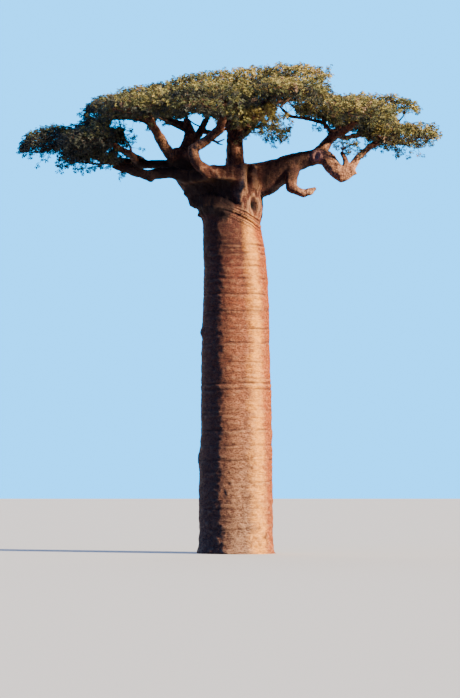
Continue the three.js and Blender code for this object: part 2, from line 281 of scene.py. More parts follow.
# Burls and knobs: place, radius and height in metres
BURLS = [
    ((-1.66, -0.3, 9.6), 0.34, 0.16), ((-1.7, 0.1, 4.1), 0.62, 0.1), ((0.34, -0.25, 17.05), 0.26, 0.16),
    ((-0.45, 0.0, 18.05), 0.3, 0.12), ((0.3, 0.0, 18.12), 0.2, 0.08), ((-3.75, -0.9, 16.24), 0.26, 0.14),
    ((1.4, -0.3, 15.7), 0.22, 0.2), ((-3.66, -0.45, 17.93), 0.18, 0.1), ((1.1, 1.2, 8.2), 0.45, 0.1),
    ((-2.02, -0.2, 17.2), 0.6, 0.22), ((-1.95, -1.5, 17.25), 0.5, 0.16), ((0.42, -0.4, 17.0), 0.3, 0.16),
    ((-0.6, 1.5, 11.4), 0.35, 0.1), ((1.5, 0.5, 5.2), 0.5, 0.08), ((-2.5, -0.1, 16.08), 0.26, 0.08),
    ((-2.2, -0.1, 15.74), 0.3, 0.17), ((-1.9, -0.1, 15.26), 0.4, 0.2), ((-1.6, -0.1, 14.78), 0.26, 0.15),
    ((-2.2, -0.1, 15.52), 0.16, -0.08), ((-1.7, -0.1, 14.95), 0.16, -0.08),
    ((-1.55, -0.1, 14.6), 0.16, -0.06), ((-1.5, -0.9, 15.5), 0.4, 0.07), ((-0.9, -1.3, 15.3), 0.36, 0.06),
    ((4.7, -1.1, 16.15), 0.3, 0.05), ((0.6, 1.3, 15.6), 0.4, 0.12), ((-1.2, 1.2, 15.3), 0.4, 0.12),
    ((3.45, -0.15, 17.65), 0.26, 0.05),
    ((5.5, -1.1, 16.42), 0.32, 0.13), ((4.8, -1.1, 16.5), 0.3, 0.06), ((5.12, -1.1, 16.2), 0.2, -0.07),
    ((4.25, -1.1, 16.55), 0.32, 0.13), ((0.52, -0.3, 17.18), 0.34, 0.14), ((3.2, -1.2, 15.62), 0.26, 0.09),
]
# The collar under the head: its middle height, and how far it is from fold to fold, for the folds
# in the mesh and for the fine ones in the material
COLLAR_MIDDLE = 14.68
COLLAR_FOLD = 0.24
FOLD_PERIOD = 0.13
# The hollow where a bough was lost: x and z, half width, half height and depth; and the healed
# scar on the right-hand bough: place and radius
KNOT_HOLE = ((0.7, 15.08), 0.15, 0.26, 0.3)
SCAR = ((3.5, -0.7, 17.28), 0.24)
# The bough whose bark is painted dark as shade, and those painted pale as sunlight under the crown's shade,
# as paths and radii
SHADED_BOUGH = [(1.1, -0.6, 16.2), (2.0, -0.6, 16.8), (2.6, -0.6, 17.1)]
PAINTED_SUNLIGHT_PATHS = [
    ([(-1.95, -1.7, 17.6), (-1.5, -1.8, 18.0), (-0.7, -1.9, 18.3)], 0.8),
    ([(-2.9, -0.6, 17.7), (-3.4, -0.6, 18.4), (-3.8, -0.6, 19.0)], 0.6),
    ([(-1.9, -1.5, 17.3), (-1.72, -1.5, 17.05)], 0.34),
    ([(0.28, -1.3, 17.0), (0.3, -1.4, 15.6)], 0.26),
    ([(0.78, -1.3, 17.0), (0.75, -1.4, 15.4)], 0.3),
    ([(3.9, -0.8, 17.6), (3.6, -0.8, 17.2), (4.1, -0.9, 16.7),
      (4.7, -0.9, 16.2), (5.3, -0.9, 16.6), (5.8, -0.9, 17.1)], 0.75),
    ([(2.5, -0.8, 16.2), (2.9, -1.0, 15.7), (3.5, -1.2, 15.85)], 0.5),
]
# Deep pits in the bole: angle in degrees, height, size and depth
PITS = [
    (15, 1.1, 0.05, 0.05), (2, 0.95, 0.06, 0.04), (50, 0.7, 0.07, 0.04), (24, 3.7, 0.04, 0.04),
    (11, 11.9, 0.045, 0.04), (12, 5.6, 0.035, 0.035), (200, 2.1, 0.08, 0.05), (120, 1.4, 0.07, 0.05),
]
RING_WIDTH = 0.034
# No face is felt further round the bole than this, in degrees from its middle
FACE_LIMIT = 75


def angle_from(angle, centre):
    """The turn from a centre to an angle, between minus and plus half a turn."""
    return (angle - centre + math.pi) % (2 * math.pi) - math.pi


def bole_relief(points, angle):
    """Outward relief of the bole in metres, and how far into a ring or pit each point lies, which the
    material darkens as painted shade.
    """
    z = points[:, 2]
    relief = np.zeros(len(points))
    turn = angle + 0.07 * noise(points, (4.0, 4.0, 3.0), 2)
    turn += 0.05 * fractal(points, (1.0, 1.0, 0.9), 5, 2)
    nearest = np.zeros(len(points))
    rightness = bound(0.2 + 2 * np.sin(angle))
    flatness, sharpness = (a + (b - a) * rightness for a, b in (FLATNESS, FACE_SHARPNESS))
    for first, last in FLAT_FACES:
        middle = math.radians((first + last) / 2)
        half = math.radians((last - first) / 2)
        off = np.minimum(np.abs(angle_from(turn, middle)), math.radians(FACE_LIMIT))
        chord = BOLE_RADIUS * math.cos(half) / np.cos(off)
        nearest += np.exp(-sharpness * (chord - BOLE_RADIUS))
    relief -= flatness * np.log(nearest) / sharpness
    relief += 0.028 * fractal(points, (1.5, 1.5, 2.4), 3)
    relief += 0.014 * fractal(points, (0.5, 0.5, 0.35), 7)
    relief += 0.008 * noise(points, (0.9, 0.9, 0.11), 11)
    relief += 0.014 * fractal(points, (0.2, 0.2, 0.12), 13, 2)
    # pits and flakes towards the foot
    low = fall(z, 5.5, 4.0)
    relief += low * 0.02 * fractal(points, (0.2, 0.2, 0.16), 15)
    relief -= low * 0.03 * bound(noise(points, 0.15, 19) - 0.35)
    # lobes of the root flare
    foot = bound(1 - z / 1.1) ** 2
    relief += foot * (0.035 * np.cos(5 * angle + 0.6) + 0.03 * np.cos(9 * angle + 2))
    crease = low * bound(2.5 * (noise(points, (0.2, 0.2, 0.1), 21) - 0.35)) * 0.8
    ring_rng = np.random.default_rng(5)
    rings = [(height, depth / 1000, 0.0, math.pi, 0.02) for height, depth in CLEAR_RINGS]
    rings += [[ring_rng.uniform(*ends) for ends in FAINT_RING] for _ in range(FAINT_RINGS)]
    wander = 0.06 * noise(points, (1.1, 1.1, 3.0), 23)
    wander += 0.025 * noise(points, (0.4, 0.4, 3.0), 29)
    for height, depth, centre, reach, tilt in rings:
        level = z + wander - height - tilt * points[:, 0]
        span = bound(2.5 * (reach - np.abs(angle_from(angle, centre))) + 0.5)
        broken = np.clip(0.7 + 1.2 * noise(points + height, (0.6, 0.6, 9.0), 31), 0.05, 1)
        strength = bell(level, RING_WIDTH) * span * broken
        relief -= depth * strength
        # a slight swelling just under each ring
        relief += 0.5 * depth * bell(level + 0.09, 0.06) * span
        crease = np.maximum(crease, 1.1 * strength * min(1, depth / 0.014))
    for place, height, size, depth in PITS:
        away = np.hypot(angle_from(angle, math.radians(place)) * BOLE_RADIUS, z - height)
        away = away * (1 + 0.6 * noise(points, 0.07, 33))
        relief -= depth * bell(away, size)
        crease = np.maximum(crease, 1.1 * bell(away, size))
    return relief, crease


def face_share(points, angle, face):
    """How far each point lies within a face of the bole, from 0 to 1."""
    first, last = (math.radians(side) for side in face[:2])
    middle = (first + last) / 2
    turn = angle + 0.05 * noise(points, (4.0, 4.0, 3.0), 2)
    turn += 0.08 * fractal(points, (0.5, 0.5, 0.25), 35, 2)
    off = np.abs(angle_from(turn, middle)) - (last - first) / 2
    return bound(0.5 - off / face[2])


def head_relief(points):
    """Folds, ridges and hollow of the head where the bole forks."""
    x, y, z = points.T
    head = rise(z, 14.1, 0.6) * fall(z, 17.2, 0.6)
    front = bound(-y / 0.5)
    slope = z + SEAM_LEAN * x + 0.05 * noise(points, (0.7, 0.7, 0.5), 41)
    folds = -np.cos((slope - SEAM_HEIGHT) * 2 * math.pi / COLLAR_FOLD)
    collar = bound(1.35 - np.abs(slope - COLLAR_MIDDLE) / 0.3) * np.clip((x + 0.9) / 0.8, 0.12, 1)
    relief = collar * 0.035 * folds
    relief += head * (0.05 * fractal(points, 0.5, 43) + 0.03 * fractal(points, (0.2, 0.2, 0.6), 47))
    warped = points + 0.25 * np.stack([noise(points, 0.7, 55 + i) for i in range(3)], axis=1)
    grooves = 1 - np.abs(fractal(warped, (0.26, 0.26, 1.0), 49, 2))
    relief += head * 0.04 * (grooves - 0.6)
    # upright ridges that carry the right-hand bough, with a groove between them
    lean = 0.06 * noise(points, (2.0, 2.0, 0.7), 51)
    upper = rise(z, 15.5, 0.4) * fall(z, 17.0, 0.3)
    ridge = upper * (0.22 * bell(x + lean - 0.77, 0.14) + 0.2 * bell(x + lean - 0.28, 0.15))
    ridge -= 0.2 * bell(x + lean - 0.53, 0.09) * rise(z, 15.9, 0.3)
    ridge += 0.12 * bell(x - 0.8, 0.3) * bell(z - 15.2, 0.7)
    ridge += 0.08 * bell(x - 0.4, 0.1) * bell(z - 15.05, 0.26)
    # left of the ridges the head falls back, under the front bough and above the collar
    base = np.where(x > -0.2, 14.86, 14.86 + 0.3 * (x + 0.2))
    band = bound((slope - base) / 0.3) * fall(z, 16.15, 0.3)
    step = bound((0.24 + lean - x) / 0.3)
    ridge -= band * rise(x, -2.3, 0.8) * (0.42 * step + 0.3 * fall(x, -0.1, 1.2))
    relief += ridge * front
    # painted shade in the collar's folds, the grooves and the groove between the ridges
    crease = 0.4 * bound(-collar * folds - 0.3) + head * bound(0.45 - grooves)
    crease += front * bell(x + lean - 0.53, 0.08) * rise(z, 15.95, 0.3)
    (hx, hz), width, height, depth = KNOT_HOLE
    along = (z - hz) + 0.9 * (x - hx) + 0.05 * noise(points, 0.2, 59)
    inside = np.sqrt(((x - hx) / width) ** 2 + (along / height) ** 2)
    broken = bound(0.5 + noise(points, 0.3, 57) - 0.4 * (x - hx) / width)
    rim = broken * bell(inside - 1.4, 0.35)
    relief += front * (0.06 * rim - depth * bell(inside, 0.8))
    # the knot hole darkened as painted shade
    crease = np.maximum(crease, front * 2.6 * bell(inside, 0.8))
    return relief, crease, collar * front, slope


def scar_relief(points):
    """A ring of callus round the old wound on the right-hand bough, and where it lies."""
    place, radius = SCAR
    away = np.linalg.norm((points - np.array(place)) * (1, 0.6, 1), axis=1)
    return 0.06 * bell(away - radius * 0.75, 0.07) - 0.06 * bell(away, 0.1), bell(away - radius * 0.6, 0.16)


def near_path(points, path, radius):
    """How near points lie to a path of straight runs, 1 on it and 0 past the radius."""
    nearest = np.full(len(points), np.inf)
    for a, b in zip(np.array(path[:-1], float), np.array(path[1:], float)):
        share = bound((points - a) @ (b - a) / ((b - a) @ (b - a)))
        nearest = np.minimum(nearest, np.linalg.norm(points - a - share[:, None] * (b - a), axis=1))
    return bound(2 - 2 * nearest / radius)


def paint_shade_and_sunlight(points):
    """Where shade is painted dark on the head, the boughs and the bole's top, and where sunlight is painted
    pale on boughs.
    """
    x, y, z = points.T
    ragged = 0.16 * fractal(points, (0.4, 0.4, 0.5), 91, 3)
    low = z + SEAM_LEAN * x + ragged
    front = fall(y, 0.3, 0.6)
    # painted shade on the head's left side, from the front bough down to the collar's folds and the bole's
    # top
    foot = np.interp(x, (-0.45, -0.1), (13.95, 14.72))
    head = bound((0.12 + ragged - x) / 0.3) * bound((low - foot) / 0.3)
    head *= fall(z, 16.2, 0.25) * front
    # painted shade on the left shoulder and the lowest boughs there
    shoulder = fall(x, -1.35, 0.3) * bound((17.35 + ragged - z) / 0.25)
    shoulder *= rise(z, 15.9, 0.3) * rise(y, -1.55, 0.3)
    # painted shade on the right-hand bough, and the head's painted shadow on the top left of the bole
    bough = 0.72 * bound((x - 1.05 + ragged) / 0.3) * near_path(points, SHADED_BOUGH, 1.5)
    top = 0.42 * rise(z, 12.2, 1.4) * fall(z, 14.6, 0.2) * fall(x, 0.42, 0.25) * front
    dark = np.maximum.reduce([head, shoulder, bough, top])
    fresh = np.zeros(len(points))
    for path, radius in PAINTED_SUNLIGHT_PATHS:
        fresh = np.maximum(fresh, near_path(points, path, radius))
    return dark, fresh * (1 - dark)


def limb_relief(points):
    """Wrinkles and lumps of the boughs, and where their dips are darkened as painted shade."""
    relief = 0.026 * fractal(points, 0.42, 61) + 0.018 * fractal(points, 0.17, 67, 2)
    wrinkles = 1 - np.abs(noise(points, (0.13, 0.3, 0.3), 71))
    return relief + 0.016 * (wrinkles - 0.5), bound(-relief / 0.03) * 0.5


def burl_relief(points):
    """Knobs where a limb was shed or healed over."""
    relief = np.zeros(len(points))
    for place, radius, height in BURLS:
        away = np.linalg.norm(points - np.array(place), axis=1)
        relief += height * bell(away, radius * 0.6)
    return relief


def trunk_axis(z):
    """Where the bole's middle lies, from the trunk's own mesh."""
    points, _ = node_arrays("trunk")
    heights = np.unique(np.round(points[:, 2], 2))
    rings = [points[np.abs(points[:, 2] - height) < 0.02, 0] for height in heights]
    return np.interp(z, heights, [(ring.max() + ring.min()) / 2 for ring in rings])


def about_axis(points):
    """Each point's angle round the bole, from the front towards the right, and its distance out."""
    x, y, z = points.T
    x = x - trunk_axis(z)
    return np.arctan2(x, -y), np.hypot(x, y)


def round_bole(points):
    """The bole's skin moved out or in to its own smooth girth, so that no facet of the solid shows."""
    z = points[:, 2]
    angle, reach = about_axis(points)
    share = fall(z, BOLE_TOP, BOLE_FADE) * rise(z, 0.1, 0.5) * (reach < BOLE_REACH)
    waves = [np.ones(len(z))]
    for k in (1, 2, 3):
        waves += [np.cos(k * angle), np.sin(k * angle)]
    waves = np.stack(waves, axis=1)
    level = np.clip(z, 0, FIT_TOP - 0.01) / BOLE_STEP
    below = level.astype(int)
    part = (level - below)[:, None]
    steps = int(FIT_TOP / BOLE_STEP) + 1
    chosen = np.flatnonzero(share > 0)[::5]
    table = np.zeros((len(chosen), steps, waves.shape[1]))
    rows = np.arange(len(chosen))
    table[rows, below[chosen]] += (1 - part[chosen]) * waves[chosen]
    table[rows, below[chosen] + 1] += part[chosen] * waves[chosen]
    fit = np.linalg.lstsq(table.reshape(len(chosen), -1), reach[chosen], rcond=1e-6)[0].reshape(steps, -1)
    girth = np.sum(((1 - part) * fit[below] + part * fit[below + 1]) * waves, axis=1)
    move = share * np.clip(girth - reach, -GIRTH_SHIFT, GIRTH_SHIFT)
    return points + np.stack([move * np.sin(angle), -move * np.cos(angle), np.zeros(len(z))], axis=1)


# The bole and the boughs part in the crease below the lowest fold of the collar
SEAM_HEIGHT = 14.38
SEAM_LEAN = 0.41
SEAM_REACH = 2.3


def bark_piece(name, points, faces, normals, values, replaced):
    """One piece of the bark, shaded as if it ran on into the other."""
    used, corners = np.unique(faces, return_inverse=True)
    piece = new_object(name, points[used], corners.reshape(faces.shape))
    for key, value in values.items():
        layer = piece.data.attributes.new(key, "FLOAT", "POINT")
        layer.data.foreach_set("value", value[used].astype(np.float32))
    piece.data.normals_split_custom_set_from_vertices(normals[used].tolist())
    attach(piece, "root")
    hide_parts(*replaced)
    return piece


def make_bark():
    """The bole and the boughs, with their relief and what their material reads."""
    bark = skin_of_limbs()
    points, faces = vertices_of(bark.data), corners_of(bark.data.polygons, 4)
    smoother = Smoother(faces, len(points))
    points = round_bole(rounded(points, faces, smoother))
    normals = vertex_normals(points, faces)
    z = points[:, 2]
    angle, reach = about_axis(points)
    sideways = bound(1 - np.abs(normals[:, 2]) * 1.2)
    on_bole = fall(z, BOLE_TOP, BOLE_FADE) * (reach < BOLE_REACH)
    on_head = rise(z, 14.0, 0.5) * fall(reach, 2.3, 0.3) * fall(z, 17.3, 0.3)
    on_limb = (1 - on_bole) * (1 - on_head)
    bole, rings = bole_relief(points, angle)
    head, folds, collar, slope = head_relief(points)
    limb, dip_shade = limb_relief(points)
    callus, scar = scar_relief(points)
    dark, fresh = paint_shade_and_sunlight(points)
    relief = on_bole * bole * sideways + on_head * head + on_limb * limb + burl_relief(points) + callus
    # painted shade in the rings, pits, folds, grooves, knot hole and the boughs' dips
    crease = np.maximum(on_bole * rings * sideways, np.maximum(on_head * folds, on_limb * dip_shade))
    crease = np.clip(crease, 0, 2)
    relief = smoother.rounds(relief, 1, 0.3)
    points = points + normals * relief[:, None]
    # the cut at the ground stays flat
    points[:, 2] = np.where(z < 0.03, 0.0, np.maximum(points[:, 2], 0.0))
    even_skin = bark.data
    bpy.data.objects.remove(bark)
    bpy.data.meshes.remove(even_skin)
    # the bole's faces: the pale one is partly painted sunlight, the ruddy one partly painted shade
    faces_of_bole = {"pale_and_sunlit": PALE_SUNLIT_FACE, "ruddy_and_shaded": RUDDY_SHADED_FACE, "red": RED_FACE}
    values = {key: on_bole * face_share(points, angle, face) for key, face in faces_of_bole.items()}
    # what the material reads, with the painted shade of creases, hollows and shaded bark and the painted
    # sunlight on boughs
    values.update(
        crease=smoother.rounds(crease, 1, 0.3),
        hollow=np.clip((smoother.rounds(relief, 12) - relief) / 0.02, -1, 1),
        bough=bound(on_head + on_limb),
        scar=scar, dark=dark, collar=collar, slope=slope, fresh=fresh,
    )
    normals = vertex_normals(points, faces)
    middle = points[faces].mean(axis=1)
    low = middle[:, 2] + SEAM_LEAN * middle[:, 0] < SEAM_HEIGHT
    low &= np.hypot(middle[:, 0], middle[:, 1]) < SEAM_REACH
    limbs = [name for name in BARK if name != "trunk"]
    return [
        bark_piece("bole", points, faces[low], normals, values, ["trunk"]),
        bark_piece("boughs", points, faces[~low], normals, values, limbs),
    ]


# Branching: twig tips scattered through each foliage mass, closest under its upper skin, and
# joined to the boughs by the shortest fair ways

# How far a tip lies from the next near the skin, how far a fork does, and how many places are
# tried for each tip
TIP_SPACING = 0.195
FORK_SPACING = 0.85
TRIES_PER_TIP = 4
# Sprays that hang below a mass's rim: how near the skin, how level the skin's way at most, and
# the share of them that get one
RIM_DEPTH = 0.16
RIM_FACING = 0.35
HUNG_SHARE = 0.4
# How much the way already run counts, against the way still to go, when forks and twigs choose
# what they grow from
FORK_FRUGALITY = 0.3
TWIG_FRUGALITY = 0.5
# How far the eased bends move each time
EASING = 0.4
# How full each mass is, for those that the photograph shows thin or dense
FULLNESS = {
    "left_inner": 0.6, "left_low": 0.9, "far_left": 1.35, "left_middle": 1.35, "left_front": 1.2,
    "upper_left": 1.2, "centre_low": 1.3,
}
# Windows of the photograph, in its pixels, where sky shows past or through the foliage: left, top,
# right, bottom, and the share of the sprays that stays
SKY_WINDOWS = [
    (10, 153, 58, 190, 0.08), (58, 160, 75, 190, 0.25), (75, 168, 125, 190, 0.3),
    (108, 118, 149, 128, 0.08), (130, 138, 150, 162, 0.08), (155, 117, 190, 132, 0.08),
    (187, 112, 204, 129, 0.0), (207, 120, 216, 129, 0.0), (227, 127, 241, 142, 0.04),
    (242, 134, 262, 150, 0.1), (262, 141, 292, 154, 0.1), (276, 104, 296, 115, 0.05),
    (280, 116, 302, 128, 0.1), (282, 96, 304, 106, 0.18), (256, 95, 282, 104, 0.6),
    (303, 118, 328, 131, 0.08), (322, 77, 342, 86, 0.1), (332, 133, 351, 140, 0.2),
    (397, 112, 430, 123, 0.0), (400, 147, 450, 166, 0.12), (432, 137, 450, 160, 0.1),
    (364, 84, 396, 94.5, 0.0), (396, 84, 413, 98.5, 0.0), (412, 88, 430, 102, 0.0),
    (284, 55, 330, 63.5, 0.0),
]
# Sprays beyond the masses, to reach the photograph's outline: low corner, high corner and number
OUTGROWTHS = {
    "top_right": ((3.5, -1.6, 20.8), (4.15, 0.3, 21.2), 16),
    "right_outer": ((8.4, -1.0, 18.3), (8.85, 0.6, 18.7), 12),
    "top_centre": ((1.0, -1.0, 21.0), (1.8, 0.6, 21.28), 8),
    "top_middle": ((-0.9, -1.0, 20.95), (-0.2, 0.6, 21.2), 8),
}
# Masses whose sprays are painted lighter or darker than elsewhere, as light and shade
CROWN_LIGHT_AND_SHADE = {
    "far_left": -0.5, "left_middle": -0.4, "left_front": -0.28, "left_back": -0.4, "left_low": -0.4,
    "left_inner": -0.2, "upper_left": -0.3, "centre_low": 0.42, "right_small": -0.5, "right_inner": -0.1,
}
# Sprays that close the gaps between neighbouring masses: how many places are tried, how far from
# both masses a spray may lie, and how far it lies from the next
BRIDGE_TRIES = 60000
BRIDGE_REACH = 0.5
BRIDGE_SPACING = 0.24
# Gaps nearer the viewer than this are closed too where a mass lies behind them
FRONT_GAPS = -2.2
# The sun's way from the tree, in degrees right of the camera and up
SUN_ANGLE_RIGHT = 60
SUN_HEIGHT = 22
# Where the low sun reaches bark under the crown: places on the bark, and the radius of the beam
# that the sprays leave open, at the bark and for each metre on
SUNLIT = [
    (-1.5, -2.0, 17.98), (-1.05, -2.05, 18.2), (-3.1, -0.9, 18.15),
    (3.5, -1.1, 17.3), (3.8, -1.2, 17.0), (4.2, -1.3, 16.7), (4.7, -1.3, 16.5),
]
BEAM_RADIUS = 0.28
BEAM_WIDENING = 0.02
BEAM_SHARE = 0.2
# Shaded gaps between the crown's layers, in the photograph's pixels: left, top, right, bottom, and
# how much darker the sprays there are
SHADED_GAPS = [
    (240, 94, 300, 106, 0.5), (228, 120, 262, 132, 0.3), (150, 80, 178, 86, 0.25), (205, 92, 236, 99, 0.25),
    (335, 125, 375, 135, 0.4), (98, 103, 150, 114, 0.2), (262, 66, 300, 72, 0.2),
]
# Small dead forks and bare twigs: the radius at the root, then places from root to tip
SNAGS = [
    (0.075, (-1.2, -2.0, 17.84), (-0.84, -2.05, 17.7), (-0.55, -2.1, 17.82)),
    (0.06, (-0.95, -2.02, 17.74), (-0.8, -2.0, 17.64), (-0.62, -1.95, 17.6)),
    (0.05, (-5.4, -0.7, 18.98), (-4.8, -0.75, 18.9), (-4.3, -0.72, 18.84), (-3.75, -0.62, 18.76)),
    (0.09, (-2.12, 0.95, 18.3), (-2.3, 0.85, 18.62), (-2.85, 0.6, 18.85), (-3.6, 0.3, 19.2),
     (-4.2, 0.2, 19.5)),
    (0.06, (-2.6, 0.7, 18.78), (-3.1, 0.9, 19.1), (-3.5, 1.0, 19.5)),
    (0.05, (-1.5, 1.65, 18.85), (-1.9, 1.4, 19.0), (-2.3, 1.3, 19.3)),
    (0.05, (-7.0, 0.6, 17.7), (-7.6, 0.1, 17.75), (-8.3, -0.3, 17.85)),
    (0.045, (3.62, 0.5, 19.0), (3.5, 0.42, 18.86), (3.47, 0.38, 18.7)),
    (0.1, (-5.7, 0.6, 17.35), (-6.1, -0.6, 17.42), (-6.6, -1.3, 17.52), (-7.4, -1.5, 17.66)),
]
# Lone tufts away from the masses: place and size of the spread
TUFTS = [((3.47, 0.38, 18.6), 0.12), ((-4.35, 0.3, 17.3), 0.12), ((-5.0, -0.95, 16.55), 0.12)]
TUFT_TIPS = 5
TUFT_RADIUS = 0.012


def photo_place(points):
    """Where points lie in the photograph, in pixels."""
    away = points - CAMERA_PLACE
    ahead = away[:, 1] * math.cos(CAMERA_PITCH) + away[:, 2] * math.sin(CAMERA_PITCH)
    above = away[:, 2] * math.cos(CAMERA_PITCH) - away[:, 1] * math.sin(CAMERA_PITCH)
    across = PHOTO_WIDTH / 2 + FOCAL_PIXELS * away[:, 0] / ahead
    return across, PHOTO_HEIGHT / 2 - FOCAL_PIXELS * above / ahead


def within(window, points):
    """Which points the photograph shows inside a window."""
    left, top, right, bottom = window
    across, down = photo_place(points)
    return (across > left) & (across < right) & (down > top) & (down < bottom)


def clear_of_sky(points):
    """Which sprays stay: all but most of those that would hide the photograph's sky."""
    keep = np.ones(len(points), bool)
    for *window, share in SKY_WINDOWS:
        keep &= ~within(window, points) | (rng.random(len(points)) < share)
    return keep


def direction(right, height):
    """The way to a lamp, from its angles in degrees right of the camera and up."""
    side, up = math.radians(right), math.radians(height)
    return np.array([math.sin(side) * math.cos(up), -math.cos(side) * math.cos(up), math.sin(up)])


def clear_of_beams(points):
    """Which sprays stay: all but most of those between the sun and the sunlit bark."""
    keep = np.ones(len(points), bool)
    sun = direction(SUN_ANGLE_RIGHT, SUN_HEIGHT)
    for place in SUNLIT:
        away = points - np.array(place)
        ahead = away @ sun
        off = np.linalg.norm(away - ahead[:, None] * sun, axis=1)
        inside = (ahead > 0) & (off < BEAM_RADIUS + BEAM_WIDENING * ahead)
        keep &= ~inside | (rng.random(len(points)) < BEAM_SHARE)
    return keep


def spread_out(points, spacing):
    """Points kept one by one where each lies clear of those kept before."""
    kept = np.empty((len(points), 3))
    chosen = []
    for i, p in enumerate(points):
        n = len(chosen)
        if n == 0 or np.min(np.sum((kept[:n] - p) ** 2, axis=1)) > spacing[i] ** 2:
            kept[n] = p
            chosen.append(i)
    return chosen


class Mass:
    """One foliage mass: its solid, its twig tips, and the forks that lead to them."""

    def __init__(self, name):
        self.name = name.removeprefix("foliage_")
        points, faces = welded(*node_arrays(name))
        self.low, self.high = points.min(0), points.max(0)
        self.tree = BVHTree.FromPolygons(points.tolist(), faces.tolist())
        self.centre = (self.low + self.high) / 2

    def scatter(self):
        """Places evenly at random inside, with each one's depth and the way its nearest skin faces."""
        size = self.high - self.low
        wanted = int(size.prod() / TIP_SPACING ** 3 * TRIES_PER_TIP)
        found = []
        for p in rng.uniform(self.low, self.high, (wanted, 3)):
            _, roof, _, _ = self.tree.ray_cast(Vector(p), Vector((0, 0, 1)))
            if roof is not None and roof.z > 0:
                _, normal, _, depth = self.tree.find_nearest(Vector(p))
                found.append((*p, depth, normal.z))
        return np.array(found)

    def make_tips(self):
        """Chooses the tips and the forks among the scattered places."""
        darts = self.scatter()
        places, depth, facing = darts[:, :3], darts[:, 3], darts[:, 4]
        low_side = facing < -0.3
        spacing = np.where(low_side, 0.27 + 0.3 * depth, TIP_SPACING + 0.45 * np.maximum(depth - 0.2, 0))
        spacing /= FULLNESS.get(self.name, 1.0) ** 0.5
        order = np.argsort(depth + 0.12 * rng.random(len(places)))
        near = order[depth[order] > 0.02]
        chosen = near[spread_out(places[near], spacing[near])]
        tips = places[chosen]
        # sprays that hang a little below the rim
        rim = (depth[chosen] < RIM_DEPTH) & (facing[chosen] < RIM_FACING)
        hung = tips[rim & (rng.random(len(tips)) < HUNG_SHARE)]
        out = hung - self.centre
        out[:, 2] = 0
        out /= np.maximum(np.linalg.norm(out, axis=1), 1e-6)[:, None]
        hung = hung + out * rng.uniform(0, 0.12, (len(hung), 1))
        hung[:, 2] -= rng.uniform(0.08, 0.3, len(hung))
        low, high, number = OUTGROWTHS.get(self.name, (self.low, self.high, 0))
        tips = np.concatenate([tips, hung, rng.uniform(low, high, (number, 3))])
        tips = tips[clear_of_sky(tips)]
        self.tips = tips[clear_of_beams(tips)]
        # forks run through the lower middle of the mass
        height = (places[:, 2] - self.low[2]) / (self.high[2] - self.low[2])
        middle = np.flatnonzero((depth > 0.6 * np.max(depth) * rng.random(len(depth))) & (height < 0.6))
        self.forks = places[middle[spread_out(places[middle], np.full(len(middle), FORK_SPACING))]]


def bridge(masses):
    """Adds sprays in the gaps between masses, where they leave the front view's outline as it is."""
    low = np.min([mass.low for mass in masses], axis=0)
    high = np.max([mass.high for mass in masses], axis=0)
    eye = Vector(CAMERA_PLACE)
    places, owners = [], []
    for p in rng.uniform(low, high, (BRIDGE_TRIES, 3)):
        near = [m for m in masses if np.all(p > m.low - BRIDGE_REACH) and np.all(p < m.high + BRIDGE_REACH)]
        if len(near) < 2:
            continue
        spot = Vector(p)
        gaps = []
        for mass in near:
            place, normal, _, gap = mass.tree.find_nearest(spot)
            outside = (spot - place).dot(normal) > 0
            gaps.append(gap if outside else -gap)
        order = np.argsort(gaps)
        if gaps[order[0]] <= 0 or gaps[order[1]] > BRIDGE_REACH:
            continue
        seen = [mass.tree.ray_cast(eye, spot - eye)[3] for mass in masses]
        seen = [distance for distance in seen if distance is not None]
        if seen and (min(seen) < (spot - eye).length or p[1] < FRONT_GAPS):
            places.append(p)
            owners.append(near[order[0]])
    places = np.array(places)
    chosen = np.array(spread_out(places, np.full(len(places), BRIDGE_SPACING)))
    chosen = chosen[clear_of_sky(places[chosen]) & clear_of_beams(places[chosen])]
    for i in chosen:
        owners[i].tips = np.concatenate([owners[i].tips, places[i:i + 1]])


def contacts(masses):
    """Each place where a limb meets a mass: the ring's centre, its radius and the way in."""
    found = []
    for limb in BARK:
        if limb == "trunk":
            continue
        points, _ = welded(*node_arrays(limb))
        for mass in masses:
            if np.any(points.max(0) < mass.low - 0.01) or np.any(points.min(0) > mass.high + 0.01):
                continue
            near = np.array([mass.tree.find_nearest(Vector(p), 0.004)[0] is not None for p in points])
            if near.sum() < 3:
                continue
            ring = points[near].mean(0)
            radius = float(np.clip(np.linalg.norm(points[near] - ring, axis=1).mean(), 0.04, 0.3))
            behind = points[~near]
            behind = behind[np.linalg.norm(behind - ring, axis=1) < 1.0]
            way = ring - behind.mean(0) if len(behind) else mass.centre - ring
            found.append((ring, radius, way / np.linalg.norm(way)))
    return found


class Branches:
    """A forest of branch points, each with the one it grows from."""

    def __init__(self):
        self.place = []
        self.parent = []
        self.travel = []

    def add(self, place, parent, extra=0.0):
        self.place.append(np.asarray(place, float))
        self.parent.append(parent)
        run = 0.0 if parent < 0 else self.travel[parent] + np.linalg.norm(place - self.place[parent])
        self.travel.append(run + extra)
        return len(self.place) - 1

    def grow(self, targets, start, frugal):
        """Joins each target to the tree by the cheapest way, nearest first. Returns their numbers."""
        targets = np.asarray(targets)
        open_now = np.ones(len(targets), bool)
        best = np.full(len(targets), np.inf)
        source = np.zeros(len(targets), int)
        number = np.zeros(len(targets), int)

        def offer(k):
            cost = np.linalg.norm(targets - self.place[k], axis=1) + frugal * self.travel[k]
            better = open_now & (cost < best)
            best[better] = cost[better]
            source[better] = k

        for k in start:
            offer(k)
        while open_now.any():
            i = int(np.argmin(np.where(open_now, best, np.inf)))
            open_now[i] = False
            number[i] = self.add(targets[i], source[i])
            offer(number[i])
        return number


